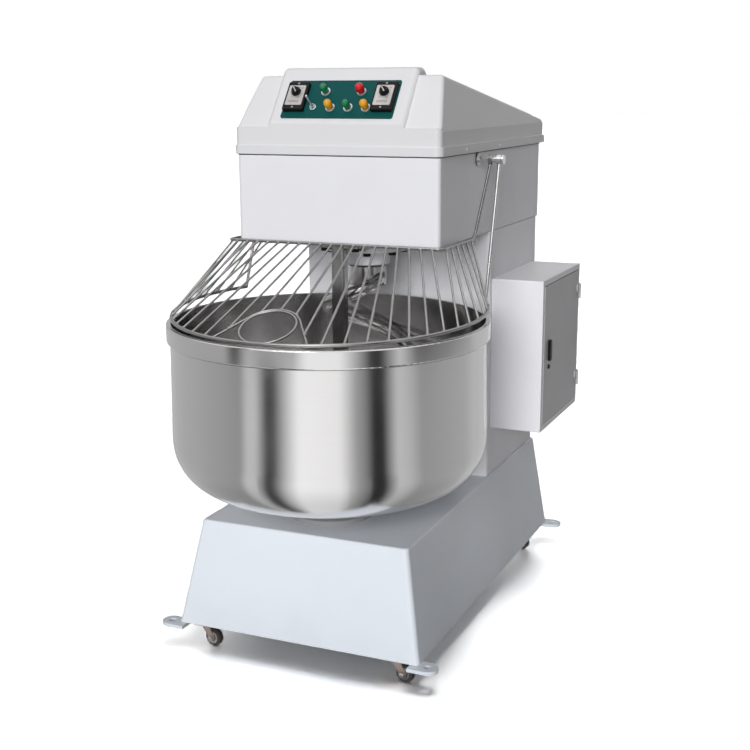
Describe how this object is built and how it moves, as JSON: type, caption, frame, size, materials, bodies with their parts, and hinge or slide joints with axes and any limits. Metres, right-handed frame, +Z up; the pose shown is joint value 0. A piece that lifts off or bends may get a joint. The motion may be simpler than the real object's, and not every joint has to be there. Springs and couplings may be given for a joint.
{
  "type": "spiral dough mixer",
  "caption": "Floor-standing spiral dough mixer: tapered base on castors, turning steel bowl, spiral hook, breaker bar, lifting wire guard, sloping control console and side electrical case.",
  "frame": {"origin": "on the floor, at the middle of the rectangle that the whole machine covers", "axes": "+X to the machine's right side seen from the front, +Y to the back, +Z up"},
  "size_m": [0.8267, 1.33, 1.437],
  "materials": {
    "white_paint": "powder coat, satin",
    "cover_white": "moulded, semi-gloss",
    "bowl_steel": "polished stainless",
    "guard_steel": "polished stainless wire",
    "hook_steel": "polished stainless",
    "chrome": "polished",
    "panel_teal": "semi-gloss",
    "black_plastic": "satin",
    "dial_grey": "satin printed",
    "button_green": "gloss",
    "button_red": "gloss",
    "button_yellow": "gloss",
    "castor_zinc": "zinc plated",
    "castor_tread": "matt",
    "cast_grey": "machined",
    "motor_grey": "enamel",
    "belt_rubber": "matt",
    "bolt_black": "black oxide"
  },
  "bodies": {
    "frame": {"base_shell": "white_paint", "anchor_lugs": "white_paint", "castor_plates": "castor_zinc", "column_shell": "white_paint", "rear_cover": "white_paint", "head_casing": "white_paint", "head_plate": "cast_grey", "head_cover": "cover_white", "control_panel": "panel_teal", "timer_bezels": "black_plastic", "timer_dials": "dial_grey", "toggle_bush": "chrome", "button_bezels": "chrome", "spindle_housing": "cast_grey", "head_bolts": "bolt_black", "spiral_belts": "belt_rubber", "spiral_motor": "motor_grey", "breaker_bar": "hook_steel", "bowl_pedestal": "cast_grey", "bowl_belts": "belt_rubber", "bowl_motor": "motor_grey", "guard_bushes": "chrome", "guard_switch": "black_plastic", "electrical_case": "white_paint", "door_hinges": "chrome", "contactors": "black_plastic", "cable_gland": "black_plastic"},
    "spiral": {"spindle_shaft": "hook_steel", "spindle_pulley": "cast_grey", "spiral_hook": "hook_steel"},
    "spiral_driver": {"spiral_motor_pulley": "cast_grey"},
    "bowl": {"bowl_shell": "bowl_steel", "bowl_rim_band": "bowl_steel", "bowl_hub": "cast_grey", "bowl_pulley": "cast_grey"},
    "bowl_driver": {"bowl_motor_pulley": "cast_grey"},
    "guard": {"guard_ring": "guard_steel", "guard_rail": "guard_steel", "guard_arms": "guard_steel", "guard_rods": "guard_steel", "guard_feed_ring": "guard_steel", "guard_shaft": "chrome"},
    "door": {"electrical_door": "white_paint"},
    "handle": {"door_handle": "black_plastic"},
    "knob_left": {"timer_knob_left": "black_plastic"},
    "knob_right": {"timer_knob_right": "black_plastic"},
    "toggle": {"toggle_lever": "chrome"},
    "button_green_upper": {"green_button_upper": "button_green"},
    "button_red": {"red_button": "button_red"},
    "button_yellow_left": {"yellow_button_left": "button_yellow"},
    "button_green_lower": {"green_button_lower": "button_green"},
    "button_yellow_right": {"yellow_button_right": "button_yellow"},
    "fork_front_left": {"castor_fork_front_left": "castor_zinc"},
    "wheel_front_left": {"castor_wheel_front_left": "castor_tread"},
    "fork_front_right": {"castor_fork_front_right": "castor_zinc"},
    "wheel_front_right": {"castor_wheel_front_right": "castor_tread"},
    "fork_rear_left": {"castor_fork_rear_left": "castor_zinc"},
    "wheel_rear_left": {"castor_wheel_rear_left": "castor_tread"},
    "fork_rear_right": {"castor_fork_rear_right": "castor_zinc"},
    "wheel_rear_right": {"castor_wheel_rear_right": "castor_tread"}
  },
  "joints": [
    {"name": "bowl_spin", "type": "hinge", "parent": "frame", "child": "bowl", "pos_m": [-0.01345, -0.265, 0.6], "axis": [0, 0, 1], "continuous": true},
    {"name": "bowl_motor_spin", "type": "hinge", "parent": "frame", "child": "bowl_driver", "pos_m": [-0.01345, 0.345, 0.25], "axis": [0, 0, 1], "continuous": true},
    {"name": "spiral_spin", "type": "hinge", "parent": "frame", "child": "spiral", "pos_m": [-0.01345, -0.025, 0.9], "axis": [0, 0, 1], "continuous": true},
    {"name": "spiral_motor_spin", "type": "hinge", "parent": "frame", "child": "spiral_driver", "pos_m": [-0.01345, 0.425, 1.1], "axis": [0, 0, 1], "continuous": true},
    {"name": "guard_lift", "type": "hinge", "parent": "frame", "child": "guard", "pos_m": [-0.01345, 0.053, 1.209], "axis": [-1, 0, 0], "range_deg": [0, 75]},
    {"name": "door_open", "type": "hinge", "parent": "frame", "child": "door", "pos_m": [0.40945, 0.566, 0.6725], "axis": [0, 0, 1], "range_deg": [0, 110]},
    {"name": "handle_turn", "type": "hinge", "parent": "door", "child": "handle", "pos_m": [0.40355, 0.258, 0.7], "axis": [1, 0, 0], "range_deg": [0, 90]},
    {"name": "timer_turn_left", "type": "hinge", "parent": "frame", "child": "knob_left", "pos_m": [-0.13145, -0.19225, 1.38212], "axis": [0, -0.7986, 0.6018], "range_deg": [0, 300]},
    {"name": "timer_turn_right", "type": "hinge", "parent": "frame", "child": "knob_right", "pos_m": [0.10455, -0.19225, 1.38212], "axis": [0, -0.7986, 0.6018], "range_deg": [0, 300]},
    {"name": "toggle_tilt", "type": "hinge", "parent": "frame", "child": "toggle", "pos_m": [-0.07945, -0.20434, 1.34365], "axis": [1, 0, 0], "range_deg": [-18, 18]},
    {"name": "press_green_upper", "type": "slide", "parent": "frame", "child": "button_green_upper", "axis": [0, 0.7986, -0.6018], "range_m": [0, 0.005], "stiffness_N_per_m": 700, "springref_m": -0.002},
    {"name": "press_red", "type": "slide", "parent": "frame", "child": "button_red", "axis": [0, 0.7986, -0.6018], "range_m": [0, 0.005], "stiffness_N_per_m": 700, "springref_m": -0.002},
    {"name": "press_yellow_left", "type": "slide", "parent": "frame", "child": "button_yellow_left", "axis": [0, 0.7986, -0.6018], "range_m": [0, 0.005], "stiffness_N_per_m": 700, "springref_m": -0.002},
    {"name": "press_green_lower", "type": "slide", "parent": "frame", "child": "button_green_lower", "axis": [0, 0.7986, -0.6018], "range_m": [0, 0.005], "stiffness_N_per_m": 700, "springref_m": -0.002},
    {"name": "press_yellow_right", "type": "slide", "parent": "frame", "child": "button_yellow_right", "axis": [0, 0.7986, -0.6018], "range_m": [0, 0.005], "stiffness_N_per_m": 700, "springref_m": -0.002},
    {"name": "castor_swivel_front_left", "type": "hinge", "parent": "frame", "child": "fork_front_left", "pos_m": [-0.27645, -0.457, 0.05], "axis": [0, 0, 1], "continuous": true},
    {"name": "castor_roll_front_left", "type": "hinge", "parent": "fork_front_left", "child": "wheel_front_left", "pos_m": [-0.25478, -0.46082, 0.023], "axis": [0.1736, 0.9848, 0], "continuous": true},
    {"name": "castor_swivel_front_right", "type": "hinge", "parent": "frame", "child": "fork_front_right", "pos_m": [0.24955, -0.457, 0.05], "axis": [0, 0, 1], "continuous": true},
    {"name": "castor_roll_front_right", "type": "hinge", "parent": "fork_front_right", "child": "wheel_front_right", "pos_m": [0.27122, -0.46082, 0.023], "axis": [0.1736, 0.9848, 0], "continuous": true},
    {"name": "castor_swivel_rear_left", "type": "hinge", "parent": "frame", "child": "fork_rear_left", "pos_m": [-0.27645, 0.503, 0.05], "axis": [0, 0, 1], "continuous": true},
    {"name": "castor_roll_rear_left", "type": "hinge", "parent": "fork_rear_left", "child": "wheel_rear_left", "pos_m": [-0.25478, 0.49918, 0.023], "axis": [0.1736, 0.9848, 0], "continuous": true},
    {"name": "castor_swivel_rear_right", "type": "hinge", "parent": "frame", "child": "fork_rear_right", "pos_m": [0.24955, 0.503, 0.05], "axis": [0, 0, 1], "continuous": true},
    {"name": "castor_roll_rear_right", "type": "hinge", "parent": "fork_rear_right", "child": "wheel_rear_right", "pos_m": [0.27122, 0.49918, 0.023], "axis": [0.1736, 0.9848, 0], "continuous": true}
  ],
  "couplings": [
    {"joint": "bowl_motor_spin", "follows": "bowl_spin", "ratio": 3.561},
    {"joint": "spiral_motor_spin", "follows": "spiral_spin", "ratio": 3.2941}
  ]
}
